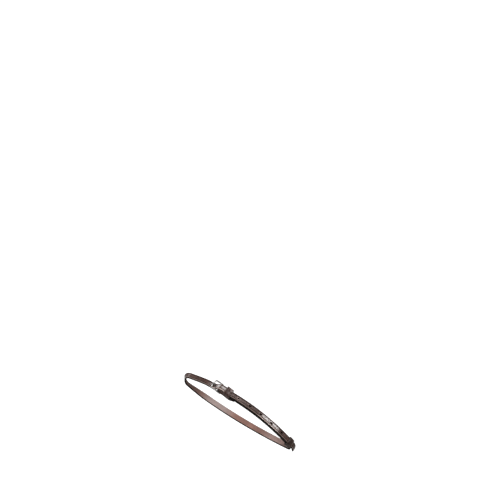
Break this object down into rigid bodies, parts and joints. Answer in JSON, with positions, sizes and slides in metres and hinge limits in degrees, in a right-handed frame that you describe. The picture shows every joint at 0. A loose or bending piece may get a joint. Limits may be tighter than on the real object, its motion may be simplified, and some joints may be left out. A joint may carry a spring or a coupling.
{
  "type": "flash nose strap",
  "caption": "Narrow leather strap buckled into a flat loop, with a wire half buckle, a fixed keeper, a sliding keeper and a pointed tip.",
  "frame": {"origin": "middle of the strap's thickness and width at the middle of the flat seat at the nose end, where the strap hangs", "axes": "+X along the loop from the nose end to the chin end, +Y across the strap, +Z out through the buckled run"},
  "size_m": [0.2421, 0.0236, 0.0528],
  "materials": {
    "strap_leather": "dark brown bridle leather, waxed grain side",
    "keeper_leather": "dark brown leather, dyed edges",
    "buckle_steel": "polished stainless wire",
    "tongue_steel": "polished stainless wire"
  },
  "bodies": {
    "strap": {"strap": "strap_leather", "fixed_keeper": "keeper_leather"},
    "buckle_frame": {"buckle_frame": "buckle_steel"},
    "buckle_tongue": {"buckle_tongue": "tongue_steel"},
    "sliding_keeper": {"sliding_keeper": "keeper_leather"}
  },
  "joints": [
    {"name": "buckle_turn", "type": "hinge", "parent": "strap", "child": "buckle_frame", "pos_m": [0.05706, 0.0017, 0.01011], "axis": [0, 1, 0], "range_deg": [0, 1]},
    {"name": "tongue_turn", "type": "hinge", "parent": "buckle_frame", "child": "buckle_tongue", "pos_m": [0.05706, 0, 0.01011], "axis": [0, 1, 0], "range_deg": [0, 1.2]},
    {"name": "sliding_keeper_travel", "type": "hinge", "parent": "strap", "child": "sliding_keeper", "pos_m": [0.09172, 0, -0.28496], "axis": [0, 1, 0], "range_deg": [-22.7, 0]}
  ]
}
